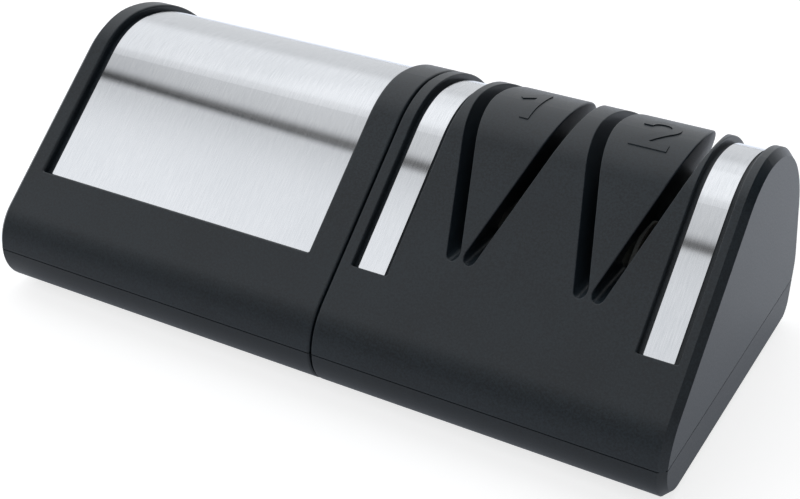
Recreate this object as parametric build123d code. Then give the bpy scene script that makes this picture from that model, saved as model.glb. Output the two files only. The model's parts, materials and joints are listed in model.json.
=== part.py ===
from build123d import *

import os
from math import atan2, cos, radians, sin, sqrt, tan

# Electric knife sharpener: a motor unit on the left, and on the right a sharpening head that
# pulls off it along +X. Millimetres, +X along the length, -Y towards the user, +Z up.
# The origin is under the middle of the bounding box, on the surface that the feet stand on.

# ---------------------------------------------------------------- body section, from the tray's underside
LENGTH = 240.0
BODY_HEIGHT = 83.0
STAND = 1.5  # the feet hold the tray this far up
FRONT_SLOPE = 45.7  # the front face's outward normal above the horizontal, degrees
FRONT_CORNER_R = 16.6
CHIN_R = 19.5
FRONT_CROWN_R = 30.4
BACK_SLOPE = 22.6  # the back face's outward normal above the horizontal, degrees
BACK_CROWN_R = 55.7
SHOULDER_R = 21.1
SHOULDER_Z = 19.45
BACK_CORNER_R = 7.5
PART_LINE = 15.4  # height of the line between upper shells and base trays
END_CHAMFER = 2.3
SEAM_X = 6.0  # where the motor unit and the head meet
SEAM_GAP = 0.5
SEAM_EDGE_R = 0.8
WALL = 2.6
SHADOW_GAP = 0.3  # groove along the parting line
SHADOW_DEPTH = 0.45
LIP_T = 1.1
LIP_H = 2.2
FIT = 0.1  # clearance between parts that slide into each other

# ---------------------------------------------------------------- steel plate and strips
PLATE_T = 0.8
PLATE_SINK = 1.95  # the plates' faces lie this far below the shells'
SEAT_T = 1.4  # plastic left under a plate
PLATE_FOOT = 40.5  # height of the recesses' lower ends on the front face
PLATE_BACK_ANGLE = 30.0  # where they end on the back crown, degrees above the horizontal
PLATE_END_GAP = 0.3  # between a plate's ends and its recess
PLATE_CORNER_R = 0.4
RECESS_CORNER_R = 0.6
COVER_RIMS = (8.1, 10.85)  # shell left beside the cover's recess: at the left end, at the seam
COVER_GAPS = (2.5, 0.3)  # between the recess and the cover: left, right
COVER_EDGE_R = 0.9
END_RIMS = (4.15, 4.9)  # shell left beside the strips' recesses: at the seam, at the right end
SLOT_RIMS = (2.8, 1.0)  # shell left between each strip's recess and the next slot, at the crest
STRIP_GAP = 1.65
STRIP_EDGE_R = 0.5

# ---------------------------------------------------------------- knife slots
STAGE_SHARES = (0.324, 0.6853)  # the stages' centres, as shares of the head's length
SLOT_TOP_SHARE = 0.135  # a slot from its stage's centre at the crest, as the same kind of share
SLOT_SPREAD = 2.85  # half the distance between the floors of one pair
SLOT_W = 4.0
SLOT_DEPTH = 35.5  # from the crest down to the slots' floors
SLOT_WALL = 2.0
SLOT_EDGE_R = 0.4

# ---------------------------------------------------------------- raised numerals 1 and 2
DIGIT_RISE = 0.35
DIGIT_H = 19.8
DIGIT_W = 12.0
DIGIT_STROKE = 3.0
DIGIT_FOOT_Y = -10.0  # front end of the digits, from the ridge
ONE_RIGHT = 2.3  # right side of the 1, from the stage's centre
FLAG_REACH = 4.8  # how far the flag of the 1 stands out from its stem
FLAG_DROP = 7.6  # from the top of the 1 down to the flag's tip
FLAG_ROOT = 5.8  # from the top of the 1 down to where the flag's underside meets the stem
FLAG_CUT = 1.05
TAIL_SLOPE = 52.6  # the 2's tail above the horizontal, degrees

# ---------------------------------------------------------------- drive line
SHAFT_Y = 0.0
SLOT_ROOM = 14.0  # the drive line runs half-way up what this leaves of the body's height
MOTOR_SHAFT_R = 2.5
SPINDLE_R = 3.0
SHAFT_CHAMFER = 0.4
RUNNING = 0.05  # radial clearance of shafts in their bushes
BUSH_R = 5.5
BUSH_L = 10.0
COUPLING_R = 9.0
COUPLING_CORE_R = 3.6
COUPLING_HUB_L = 8.0
COUPLING_CHAMFER = 0.8
COUPLING_GAP = 0.3
DOG_SPAN = 55.0
DOG_L = 6.0
DOG_COUNT = 3
DOG_PROUD = 1.0  # how far the motor's dogs stand out of the seam
WALL_OPENING_R = 11.5

# ---------------------------------------------------------------- grinding wheels and spindle
WHEEL_BITE = 6.0  # how far the wheels reach above the slots' floors
WHEEL_T = 1.2
WHEEL_INNER = 1.5  # backing disc's inner face from the stage's centre
WHEEL_WINDOW = 1.2  # clearance round a wheel
ABRASIVE_T = 0.4
ABRASIVE_W = 6.0  # the coated band runs in this far from the wheel's rim
HUB_R = 8.0
HUB_L = 7.5
HUB_END_T = 2.4
CUP_R = 5.3
DRIVE_PIN_R = 1.0
DRIVE_PIN_L = 13.0
DRIVE_PIN_SEAT = 1.4  # depth of the groove that a cross pin lies in
SPRING_WIRE_R = 0.45
SPRING_R = 4.35
SPRING_TURNS = 6
CLIP_T = 0.8
CLIP_R = 5.0
CLIP_GROOVE_R = 2.5
CLIP_MOUTH = 4.0
SPINDLE_END = 3.0  # spindle beyond its right bush
BLOCK_INSETS = (14.75, 12.0)  # bearing blocks from the seam and from the right end
BLOCK_T = 8.0
BLOCK_W = 24.0
BLOCK_FOOT_W = 48.0
BLOCK_FOOT_H = 4.0
BLOCK_SCREW_Y = 18.0
PAD_H = 2.0
PAD_R = 3.9

# ---------------------------------------------------------------- motor
STACK_FROM_SEAM = 39.75
STACK_L = 28.0
STACK_FRONT = 20.0  # before the shaft
COIL_ROOM = 1.6  # between the coil's upper edge and the shell's back wall
STACK_CHAMFER = 3.0
POLE_T = 8.4
AIR_GAP = 0.3
LEG_W = 12.0
WINDOW_W = 15.0
YOKE_H = 12.0
RIVET_INSET_Y = 5.0
RIVET_INSET_Z = 6.0
BOBBIN_T = 1.0
COIL_T = 6.2
COIL_CORNER = 0.8  # corner radius over the coil's thickness
BRACKET_W = 18.0
BRACKET_T = 2.0
BRACKET_REACH = 10.0
BRACKET_LEG = 5.4  # from a bolt down to the bracket's inside
BOLT_INSET = 4.0
BOLT_R = 1.5
BOLT_END = 1.0
NUT_R = 2.8
NUT_H = 2.2
END_RING_L = 3.0
END_RING_STEP = 1.2
FAN_FROM_STACK = 29.0
FAN_L = 13.0
FAN_R = 22.0
FAN_TIP = 1.0
FAN_BLADES = 8
FAN_BLADE_T = 1.2
FAN_HUB_R = 5.5
CRADLE_T = 2.0
CRADLE_PROUD = 12.0  # beyond each end of the stack
CRADLE_HALF_W = 26.0
CRADLE_CORNER_R = 5.0
MOUNT_INSET = 6.0
MOUNT_R = 5.5
MOUNT_H = 4.0
MOUNT_EDGE_R = 0.8
MOUNT_POST_H = 4.9
VENT_W = 2.4
VENT_PITCH = 5.0
VENT_L = 34.0
VENT_COUNT = 5

# ---------------------------------------------------------------- feet and screws
FOOT_R = 6.0
FOOT_SEAT = 1.0
FOOT_CHAMFER = 0.6
FEET_INSETS_Y = (24.92, 18.92)  # from the front and from the back
MOTOR_FEET_INSETS = (14.0, 13.75)  # from the left end and from the seam
HEAD_FEET_INSETS = (11.75, 13.0)  # from the seam and from the right end
BOSS_R = 4.2
BOSS_INSETS_Y = (22.92, 31.92)
MOTOR_BOSS_INSETS = (27.0, 29.75)  # front row: from the left end and from the seam
STACK_BOSS_GAPS = (17.0, 14.0)  # back row: from the stator's two ends
HEAD_BOSS_INSETS = (24.75, 23.0)
SCREW_R = 1.45
SCREW_HOLE_R = 1.7
SCREW_BITE = 8.0
SCREW_STOP = 1.0  # plastic left beyond a screw's tip
COUNTERBORE_R = 3.5
COUNTERBORE_TOP = 9.0
HEAD_R_RATIO = 2.0  # screw proportions, over the shank's radius
HEAD_H_RATIO = 1.4
RECESS_L_RATIO = 2.8
RECESS_W_RATIO = 0.35

# ---------------------------------------------------------------- guide pins between the units
PIN_R = 3.0
PIN_INSETS_Y = (27.92, 23.92)
PIN_Z = 27.0
PIN_PROUD = 14.0
PIN_CHAMFER = 1.0
SOCKET_R = 5.6
PIN_ROOT = 9.0

# ---------------------------------------------------------------- switch and cord inlet, on the back
SWITCH_INSET = 22.0  # from the left end
BEZEL_L = 21.0
BEZEL_W = 15.0
BEZEL_T = 1.6
BEZEL_CORNER_R = 1.5
BEZEL_CHAMFER = 0.5
SWITCH_L = 19.0
SWITCH_W = 12.8
SWITCH_DEPTH = 15.0
TAG_L = 6.2
TAG_W = 4.8
TAG_T = 0.8
TAG_ROOT = 0.1
ROCKER_L = 15.0
ROCKER_W = 10.4
ROCKER_TILT = 9.0
ROCKER_PIVOT = -2.0  # below the body's skin
ROCKER_PIN_R = 1.2
ROCKER_STUBS = 1.2  # how far the stubs reach into the walls, both together
ROCKER_END_H = 3.0  # heights over the skin, before the tilt
ROCKER_DIP_H = 1.8
ROCKER_SIDE_H = -1.0
ROCKER_KEEL_H = -5.0
WELL_L = 16.8
WELL_W = 10.8
WELL_DEPTH = 10.0
GLAND_FROM_SEAM = 11.25
GLAND_DROP = 0.2  # the gland's flange ends this far under the parting line
GLAND_HALF = 4.5
GLAND_FLANGE = 5.4
GLAND_CORNER_R = 1.5
GLAND_EDGE_R = 0.9
GLAND_PROUD = 2.0
GLAND_INSIDE = 3.0
GLAND_SLACK = 0.3
CORD_BORE_R = 3.5
CLAMP_FROM_BACK = 11.92
CLAMP_W = 16.6
CLAMP_D = 7.0
CLAMP_T = 3.0
CLAMP_LIP = 1.0  # the bridge starts this far below the cord's axis
CLAMP_SEAT = 2.0  # its screws' heads sit this far above
CLAMP_SCREW = 6.0
CLAMP_SCREW_R = 1.1
ANVIL_LIFT = 2.0  # underside of the tray's anvil, above the tray's underside

# ---------------------------------------------------------------- derived places
FAR = 300.0  # larger than the whole object
FRONT = radians(FRONT_SLOPE)
BACK = radians(BACK_SLOPE)
TAIL = radians(TAIL_SLOPE)
FRONT_REACH = CHIN_R + (
    sin(FRONT) * (BODY_HEIGHT - FRONT_CROWN_R - FRONT_CORNER_R) + FRONT_CROWN_R - CHIN_R
) / cos(FRONT)
BACK_REACH = SHOULDER_R + (
    sin(BACK) * (BODY_HEIGHT - BACK_CROWN_R - SHOULDER_Z) + BACK_CROWN_R - SHOULDER_R
) / cos(BACK)
RIDGE_Y = (FRONT_REACH - BACK_REACH - GLAND_PROUD) / 2
FRONT_Y, BACK_Y = RIDGE_Y - FRONT_REACH, RIDGE_Y + BACK_REACH
LEFT_X, RIGHT_X = -LENGTH / 2, LENGTH / 2
MOTOR_END_X = SEAM_X - SEAM_GAP / 2
HEAD_END_X = SEAM_X + SEAM_GAP / 2
HEAD_L = RIGHT_X - HEAD_END_X
PART_Z = STAND + PART_LINE
FLOOR_Z = STAND + WALL
CREST_Z = STAND + BODY_HEIGHT
SHAFT_Z = STAND + (BODY_HEIGHT - SLOT_ROOM) / 2

STAGES_X = [HEAD_END_X + share * HEAD_L for share in STAGE_SHARES]
SLOT_FLOOR_Z = CREST_Z - SLOT_DEPTH
SLOT_FOOT_Z = SLOT_FLOOR_Z + SLOT_W / 2
SLOT_TOP = SLOT_TOP_SHARE * HEAD_L
SLOT_TILT = atan2(SLOT_TOP - SLOT_SPREAD, CREST_Z - SLOT_FOOT_Z)  # about 20 degrees
SLOT_REACH = SLOT_TOP + SLOT_W / 2 / cos(SLOT_TILT)

PLATE_DEPTH = PLATE_SINK + PLATE_T
COVER_RECESS_X = (LEFT_X + COVER_RIMS[0], MOTOR_END_X - COVER_RIMS[1])
COVER_X = (COVER_RECESS_X[0] + COVER_GAPS[0], COVER_RECESS_X[1] - COVER_GAPS[1])
STRIP_RECESSES_X = (
    (HEAD_END_X + END_RIMS[0], STAGES_X[0] - SLOT_REACH - SLOT_RIMS[0]),
    (STAGES_X[1] + SLOT_REACH + SLOT_RIMS[1], RIGHT_X - END_RIMS[1]),
)
STRIPS_X = [(x0 + STRIP_GAP, x1 - STRIP_GAP) for x0, x1 in STRIP_RECESSES_X]

WHEEL_R = SLOT_FLOOR_Z - SHAFT_Z + WHEEL_BITE
DRIVE_PIN_X = WHEEL_INNER + WHEEL_T + HUB_L + DRIVE_PIN_R - DRIVE_PIN_SEAT
BLOCKS_X = (HEAD_END_X + BLOCK_INSETS[0], RIGHT_X - BLOCK_INSETS[1])
DRIVER_X1 = MOTOR_END_X - DOG_L + DOG_PROUD  # root of the motor half's dogs
DRIVER_X0 = DRIVER_X1 - COUPLING_HUB_L
DRIVEN_X0 = DRIVER_X1 + DOG_L + COUPLING_GAP  # root of the spindle half's dogs
DRIVEN_X1 = DRIVEN_X0 + COUPLING_HUB_L

MOUNT_Z = FLOOR_Z + MOUNT_POST_H
CRADLE_Z = MOUNT_Z + MOUNT_H
STACK_X = (MOTOR_END_X - STACK_FROM_SEAM - STACK_L, MOTOR_END_X - STACK_FROM_SEAM)
STACK_HALF_H = SHAFT_Z - CRADLE_Z - CRADLE_T
ROTOR_R = STACK_HALF_H - POLE_T - AIR_GAP
BRACKET_BOLT = STACK_HALF_H - BOLT_INSET
BRACKET_INSIDE = BRACKET_BOLT - BRACKET_LEG
COIL_HALF_H = STACK_HALF_H - YOKE_H - RUNNING
COIL_REACH = RUNNING + BOBBIN_T + COIL_T  # out from the leg that it is wound on
BACK_FLAT = (
    BACK_Y - SHOULDER_R * (1 - cos(BACK)),
    STAND + SHOULDER_Z + SHOULDER_R * sin(BACK),
)  # lower end of the back's flat
COIL_WALL_Y = BACK_FLAT[0] - (SHAFT_Z + COIL_HALF_H - BACK_FLAT[1]) * tan(BACK) - WALL / cos(BACK)
STACK_Y = (SHAFT_Y - STACK_FRONT, COIL_WALL_Y - COIL_ROOM - COIL_REACH)
FAN_X = (STACK_X[0] - FAN_FROM_STACK - FAN_L, STACK_X[0] - FAN_FROM_STACK)
CRADLE_X = (STACK_X[0] - CRADLE_PROUD, STACK_X[1] + CRADLE_PROUD)
CRADLE_Y = (SHAFT_Y - CRADLE_HALF_W, SHAFT_Y + CRADLE_HALF_W)
MOTOR_BUSHES_X = (
    STACK_X[0] - BRACKET_REACH + BRACKET_T - BUSH_L / 2,
    STACK_X[1] + BRACKET_REACH - BRACKET_T + BUSH_L / 2,
)

FEET_Y = (FRONT_Y + FEET_INSETS_Y[0], BACK_Y - FEET_INSETS_Y[1])
MOTOR_FEET_X = (LEFT_X + MOTOR_FEET_INSETS[0], MOTOR_END_X - MOTOR_FEET_INSETS[1])
HEAD_FEET_X = (HEAD_END_X + HEAD_FEET_INSETS[0], RIGHT_X - HEAD_FEET_INSETS[1])
BOSSES_Y = (FRONT_Y + BOSS_INSETS_Y[0], BACK_Y - BOSS_INSETS_Y[1])
MOTOR_BOSSES = [
    (LEFT_X + MOTOR_BOSS_INSETS[0], MOTOR_END_X - MOTOR_BOSS_INSETS[1]),
    (STACK_X[0] - STACK_BOSS_GAPS[0], STACK_X[1] + STACK_BOSS_GAPS[1]),
]
HEAD_BOSSES = [(HEAD_END_X + HEAD_BOSS_INSETS[0], RIGHT_X - HEAD_BOSS_INSETS[1])] * 2
SCREW_HEAD_R = HEAD_R_RATIO * SCREW_R
PIN_Y = (FRONT_Y + PIN_INSETS_Y[0], BACK_Y - PIN_INSETS_Y[1])
SWITCH_X = LEFT_X + SWITCH_INSET
GLAND_X = MOTOR_END_X - GLAND_FROM_SEAM
CORD_Z = PART_Z - GLAND_DROP - GLAND_FLANGE
CLAMP_Y = BACK_Y - CLAMP_FROM_BACK

# Section arcs, front foot to back foot: centre (y, z) from the ridge and the tray's underside,
# radius, start and end angle in degrees from +Y towards +Z.
ARCS = (
    ((FRONT_CORNER_R - FRONT_REACH, FRONT_CORNER_R), FRONT_CORNER_R, 270, 180),
    ((CHIN_R - FRONT_REACH, FRONT_CORNER_R), CHIN_R, 180, 180 - FRONT_SLOPE),
    ((0, BODY_HEIGHT - FRONT_CROWN_R), FRONT_CROWN_R, 180 - FRONT_SLOPE, 90),
    ((0, BODY_HEIGHT - BACK_CROWN_R), BACK_CROWN_R, 90, BACK_SLOPE),
    ((BACK_REACH - SHOULDER_R, SHOULDER_Z), SHOULDER_R, BACK_SLOPE, 0),
    ((BACK_REACH - BACK_CORNER_R, BACK_CORNER_R), BACK_CORNER_R, 0, -90),
)


def section_point(centre, radius, angle):
    """Point (y, z) of the row frame on an arc of the section."""
    turn = radians(angle)
    return RIDGE_Y + centre[0] + radius * cos(turn), STAND + centre[1] + radius * sin(turn)


def section(x, inset):
    """The body's section at x, moved inwards by inset, as a face."""
    edges, points = [], []
    for centre, radius, start, end in ARCS:
        arc = [
            (x, *section_point(centre, radius - inset, angle))
            for angle in (start, (start + end) / 2, end)
        ]
        if points and (Vector(points[-1]) - Vector(arc[0])).length > 1e-6:
            edges.append(Line(points[-1], arc[0]))
        edges.append(ThreePointArc(*arc))
        points += arc
    edges.append(Line(points[-1], points[0]))
    return Face(Wire(edges))


def prism(x0, x1, inset=0.0):
    """The body's section from x0 to x1."""
    return extrude(section(x0, inset), amount=x1 - x0, dir=(1, 0, 0))


def block(x0, x1, y0, y1, z0, z1):
    """A box between two corners."""
    centre = Pos((x0 + x1) / 2, (y0 + y1) / 2, (z0 + z1) / 2)
    return centre * Box(x1 - x0, y1 - y0, z1 - z0)


def rod(x0, x1, radius, y=SHAFT_Y, z=SHAFT_Z):
    """A cylinder along X, on the drive axis unless placed elsewhere."""
    return Pos((x0 + x1) / 2, y, z) * Rot(0, 90, 0) * Cylinder(radius, x1 - x0)


def post(x, y, z0, z1, radius):
    """An upright cylinder."""
    return Pos(x, y, (z0 + z1) / 2) * Cylinder(radius, z1 - z0)


def over(z):
    """Everything above a height."""
    return block(-FAR, FAR, -FAR, FAR, z, z + FAR)


def under(z):
    """Everything below a height."""
    return block(-FAR, FAR, -FAR, FAR, z - FAR, z)


def half_space(origin, up):
    """Everything on the up side of a plane that holds the X direction."""
    plane = Plane(origin=origin, x_dir=(1, 0, 0), z_dir=up)
    return plane * (Pos(0, 0, FAR / 2) * Box(2 * FAR, 2 * FAR, FAR))


def front_cut(height, shift):
    """Everything up the slope from a point of the front face, shift further up."""
    chin, _, _, angle = ARCS[1]
    y, z = section_point(chin, CHIN_R, angle)
    up = (0, sin(FRONT), cos(FRONT))
    along = (STAND + height - z) / cos(FRONT) + shift
    return half_space((0, y + along * up[1], z + along * up[2]), up)


def back_cut(angle, shift):
    """Everything up from a point of the back crown, shift further up."""
    y, z = section_point(ARCS[3][0], BACK_CROWN_R, angle)
    up = (0, -sin(radians(angle)), cos(radians(angle)))
    return half_space((0, y + shift * up[1], z + shift * up[2]), up)


def wrap(x0, x1, outer, inner, margin=0.0):
    """A band over the top between two insets, which ends on the front face and the back crown."""
    ring = prism(x0, x1, outer) - prism(x0, x1, inner)
    return ring & front_cut(PLATE_FOOT, margin) & back_cut(PLATE_BACK_ANGLE, margin)


def rounded_corners(band, radius):
    """A band with its four corners rounded, the edges that run through its thickness."""
    return fillet(band.edges().sort_by(SortBy.LENGTH)[:4], radius)


def touches(shape, edge):
    """True where an edge lies on a shape's surface."""
    spots = [Vertex(edge.position_at(share)) for share in (0.1, 0.5, 0.9)]
    return all(min(face.distance_to(spot) for face in shape.faces()) < 1e-3 for spot in spots)


def cut_rounded(body, skin, tool, radius):
    """Cuts tool from body and rounds the edges that the cut makes in the skin."""
    result = body - tool
    mouth = [edge for edge in result.edges() if touches(skin, edge) and touches(tool, edge)]
    return fillet(mouth, radius)


def recess_tool(x0, x1):
    """The recess that a plate or a strip is seated in."""
    return rounded_corners(wrap(x0, x1, -PLATE_T, PLATE_DEPTH), RECESS_CORNER_R)


def plate(x0, x1):
    """A sheet steel plate in its recess."""
    return rounded_corners(wrap(x0, x1, PLATE_SINK, PLATE_DEPTH, PLATE_END_GAP), PLATE_CORNER_R)


def unit_block(x0, x1, seam_last):
    """One unit's outer block: chamfered at its free end, rounded at the seam."""
    body = prism(x0, x1)
    free_end, seam_end = (0, -1) if seam_last else (-1, 0)
    body = chamfer(body.faces().sort_by(Axis.X)[free_end].edges(), END_CHAMFER)
    return fillet(body.faces().sort_by(Axis.X)[seam_end].edges(), SEAM_EDGE_R)


def cavity(x0, x1, inset):
    """A unit's inside, all its walls inset thick."""
    return prism(x0 + inset, x1 - inset, inset)


def shadow_groove(x0, x1):
    """The thin groove all round a unit, just above the parting line."""
    band = block(-FAR, FAR, -FAR, FAR, PART_Z, PART_Z + SHADOW_GAP)
    return band - prism(x0 + SHADOW_DEPTH, x1 - SHADOW_DEPTH, SHADOW_DEPTH)


def boss_places(rows):
    """Places of the base screws: the front row, then the back row."""
    return [(x, y) for y, row in zip(BOSSES_Y, rows) for x in row]


def drive_opening(radius):
    """Opening for the coupling, open down to the parting line so that the shell lifts off."""
    channel = block(-FAR, FAR, SHAFT_Y - radius, SHAFT_Y + radius, 0, SHAFT_Z)
    return (rod(-FAR, FAR, radius) + channel) & over(PART_Z)


def seam_slice(x0, x1):
    """The slice of space that holds a unit's seam wall."""
    return block(x0, x1, -FAR, FAR, -FAR, FAR)


# ---------------------------------------------------------------- the two units' shells
def slot_tool(x_stage, side, grow=0.0):
    """One knife slot right through the head, round at its floor. side is -1 left, 1 right."""
    half = SLOT_W / 2 + grow
    foot = Vector(x_stage + side * SLOT_SPREAD, 0, SLOT_FOOT_Z)
    up = Vector(side * sin(SLOT_TILT), 0, cos(SLOT_TILT))
    across = Vector(cos(SLOT_TILT), 0, -side * sin(SLOT_TILT))
    top = up * BODY_HEIGHT
    right, left = foot + across * half, foot - across * half
    outline = [
        Line(right, right + top),
        Line(right + top, left + top),
        Line(left + top, left),
        ThreePointArc(left, foot - up * half, right),
    ]
    return extrude(Face(Wire(outline)), amount=FAR, dir=(0, 1, 0), both=True)


def digit_one(x):
    """Plain figure 1 as a flat face, its foot at y 0."""
    right = x + ONE_RIGHT
    left = right - DIGIT_STROKE
    tip = left - FLAG_REACH
    return Polygon(
        (left, 0),
        (right, 0),
        (right, DIGIT_H),
        (left, DIGIT_H),
        (tip, DIGIT_H - FLAG_DROP),
        (tip + FLAG_CUT, DIGIT_H - FLAG_DROP - FLAG_CUT),
        (left, DIGIT_H - FLAG_ROOT),
        align=None,
    )


def digit_two(x):
    """Plain figure 2 as a flat face, its foot at y 0: a bowl, and a straight tail tangent to it."""
    outer = DIGIT_W / 2
    inner = outer - DIGIT_STROKE
    along = Vector(cos(TAIL), sin(TAIL)) * DIGIT_H
    out = Vector(sin(TAIL), -cos(TAIL))
    centre = Vector(x, DIGIT_H - outer)
    below = Polygon(
        centre,
        centre + Vector(-DIGIT_H, 0),
        centre + Vector(-DIGIT_H, -DIGIT_H),
        centre + out * DIGIT_H,
        align=None,
    )
    bowl = Pos(centre) * (Circle(outer) - Circle(inner)) - below
    near, far = centre + out * inner, centre + out * outer
    tail = Polygon(near, near - along, far - along, far, align=None)
    bar = Pos(x, DIGIT_STROKE / 2) * Rectangle(DIGIT_W, DIGIT_STROKE)
    return (bowl + tail + bar) & (Pos(x, DIGIT_H / 2) * Rectangle(DIGIT_W, DIGIT_H))


def raised(face):
    """A flat figure standing proud of the skin on the body's top, rooted in its wall."""
    figure = extrude(Pos(0, RIDGE_Y + DIGIT_FOOT_Y, CREST_Z / 2) * face, amount=CREST_Z)
    return (figure & prism(LEFT_X, RIGHT_X, -DIGIT_RISE)) - prism(LEFT_X, RIGHT_X, WALL / 2)


def upper_shell(blank, x0, x1, ribs, rows):
    """Upper part of a unit: blank less its cavity, with ribs and screw bosses left standing."""
    bosses = [post(x, y, 0, BODY_HEIGHT, BOSS_R) for x, y in boss_places(rows)]
    hollow = cavity(x0, x1, WALL) - bosses - ribs
    rebate = cavity(x0, x1, WALL - LIP_T - FIT) & under(PART_Z + LIP_H + FIT)
    holes = [
        post(x, y, PART_Z, PART_Z + SCREW_BITE + 2 * SCREW_R, SCREW_R + RUNNING)
        for x, y in boss_places(rows)
    ]
    shell = (blank & over(PART_Z)) - hollow - (rebate - bosses)
    return shell - shadow_groove(x0, x1) - holes


def base_tray(blank, x0, x1, posts, rows, feet_x):
    """Base tray of a unit: floor, walls up to the parting line, a lip inside the shell."""
    tubes = [post(x, y, STAND, PART_Z, BOSS_R) for x, y in boss_places(rows)]
    lip = cavity(x0, x1, WALL - LIP_T) - cavity(x0, x1, WALL)
    lip &= under(PART_Z + LIP_H) & over(STAND + WALL)
    tray = (blank & under(PART_Z)) - cavity(x0, x1, WALL)
    tray = tray + lip + [tube & prism(x0, x1) for tube in tubes] + posts
    for x, y in boss_places(rows):
        tray -= post(x, y, 0, PART_Z, SCREW_HOLE_R)
        tray -= post(x, y, 0, COUNTERBORE_TOP, COUNTERBORE_R)
    for x in feet_x:
        for y in FEET_Y:
            tray -= post(x, y, 0, STAND + FOOT_SEAT, FOOT_R)
    return tray


def seat_rib(x0, x1):
    """Thickening inside the shell that carries a recess."""
    return wrap(x0 - SEAT_T, x1 + SEAT_T, 0, PLATE_DEPTH + SEAT_T, -SEAT_T)


def motor_parts():
    """Blank, cover recess and ribs of the motor unit's shells."""
    blank = unit_block(LEFT_X, MOTOR_END_X, True)
    tool = recess_tool(*COVER_RECESS_X)
    blank = cut_rounded(blank, prism(LEFT_X, MOTOR_END_X), tool, COVER_EDGE_R)
    sockets = [
        rod(MOTOR_END_X - PIN_PROUD - WALL, MOTOR_END_X, SOCKET_R, y, PIN_Z) for y in PIN_Y
    ]
    return blank, [seat_rib(*COVER_RECESS_X), *sockets]


def switch_plane():
    """Plane half-way up the flat of the back: local X along the body, local Z outwards."""
    low = section_point(ARCS[4][0], SHOULDER_R, BACK_SLOPE)
    high = section_point(ARCS[3][0], BACK_CROWN_R, BACK_SLOPE)
    spot = (SWITCH_X, (low[0] + high[0]) / 2, (low[1] + high[1]) / 2)
    return Plane(origin=spot, x_dir=(1, 0, 0), z_dir=(0, cos(BACK), sin(BACK)))


def gland_block(y0, y1, half):
    """A square block round the cord's way in."""
    return block(GLAND_X - half, GLAND_X + half, y0, y1, CORD_Z - half, CORD_Z + half)


def motor_upper_shell():
    blank, ribs = motor_parts()
    shell = upper_shell(blank, LEFT_X, MOTOR_END_X, ribs, MOTOR_BOSSES)
    wall = seam_slice(MOTOR_END_X - WALL, MOTOR_END_X)
    shell -= drive_opening(WALL_OPENING_R) & wall
    for y in PIN_Y:
        shell -= rod(MOTOR_END_X - PIN_PROUD - FIT, MOTOR_END_X, PIN_R + FIT, y, PIN_Z)
    return shell - switch_plane() * Box(SWITCH_L + FIT, SWITCH_W + FIT, 4 * WALL)


def wall_tab(x0, x1):
    """Upstand of a tray that closes the foot of the shell's coupling opening."""
    half = WALL_OPENING_R - FIT
    tab = block(x0, x1, SHAFT_Y - half, SHAFT_Y + half, FLOOR_Z, SHAFT_Z)
    return tab - rod(x0, x1, WALL_OPENING_R)


def motor_mount_places():
    """Places of the four rubber mounts under the motor."""
    return [
        (x, y)
        for x in (CRADLE_X[0] + MOUNT_INSET, CRADLE_X[1] - MOUNT_INSET)
        for y in (CRADLE_Y[0] + MOUNT_INSET, CRADLE_Y[1] - MOUNT_INSET)
    ]


def vents(x_middle, y_middle):
    """A row of cooling slots through the tray's floor."""
    first = x_middle - VENT_PITCH * (VENT_COUNT - 1) / 2
    return [
        block(x - VENT_W / 2, x + VENT_W / 2, y_middle - VENT_L / 2, y_middle + VENT_L / 2, 0, FLOOR_Z)
        for x in (first + VENT_PITCH * n for n in range(VENT_COUNT))
    ]


def motor_base_tray():
    blank = unit_block(LEFT_X, MOTOR_END_X, True)
    posts = [post(x, y, STAND, MOUNT_Z, MOUNT_R) for x, y in motor_mount_places()]
    posts.append(wall_tab(MOTOR_END_X - WALL + FIT, MOTOR_END_X - SEAM_EDGE_R))
    anvil = block(
        GLAND_X - CLAMP_W / 2,
        GLAND_X + CLAMP_W / 2,
        CLAMP_Y - CLAMP_D / 2,
        CLAMP_Y + CLAMP_D / 2,
        STAND + ANVIL_LIFT,
        CORD_Z - CLAMP_LIP,
    )
    posts.append(anvil & prism(LEFT_X, MOTOR_END_X - WALL))
    tray = base_tray(blank, LEFT_X, MOTOR_END_X, posts, MOTOR_BOSSES, MOTOR_FEET_X)
    tray -= vents((LEFT_X + STACK_X[0]) / 2, SHAFT_Y)
    tray -= vents(sum(CRADLE_X) / 2, SHAFT_Y)
    for x, y in motor_mount_places():
        tray -= post(x, y, FLOOR_Z, MOUNT_Z, SCREW_R + RUNNING)
    for side in (-1, 1):
        x = GLAND_X + side * CLAMP_SCREW
        tray -= post(x, CLAMP_Y, FLOOR_Z + SCREW_STOP, PART_Z, CLAMP_SCREW_R + RUNNING)
    tray -= cord_channel()
    return tray - gland_block(BACK_Y - 2 * WALL, BACK_Y + WALL, GLAND_HALF)


def cord_channel():
    """The cord's straight way in, through the gland and the clamp."""
    return Pos(GLAND_X, BACK_Y, CORD_Z) * Rot(90, 0, 0) * Cylinder(CORD_BORE_R, FAR / 4)


def wheel_windows():
    """Openings in the roots of the slots, where the wheels come through."""
    half_x = WHEEL_INNER + WHEEL_T + ABRASIVE_T + WHEEL_WINDOW
    top = SHAFT_Z + WHEEL_R + WHEEL_WINDOW
    low = SLOT_FLOOR_Z - SLOT_WALL - SLOT_W
    half_y = sqrt((WHEEL_R + WHEEL_WINDOW) ** 2 - (low - SHAFT_Z) ** 2)
    return [
        block(x - half_x, x + half_x, SHAFT_Y - half_y, SHAFT_Y + half_y, low, top)
        for x in STAGES_X
    ]


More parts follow.
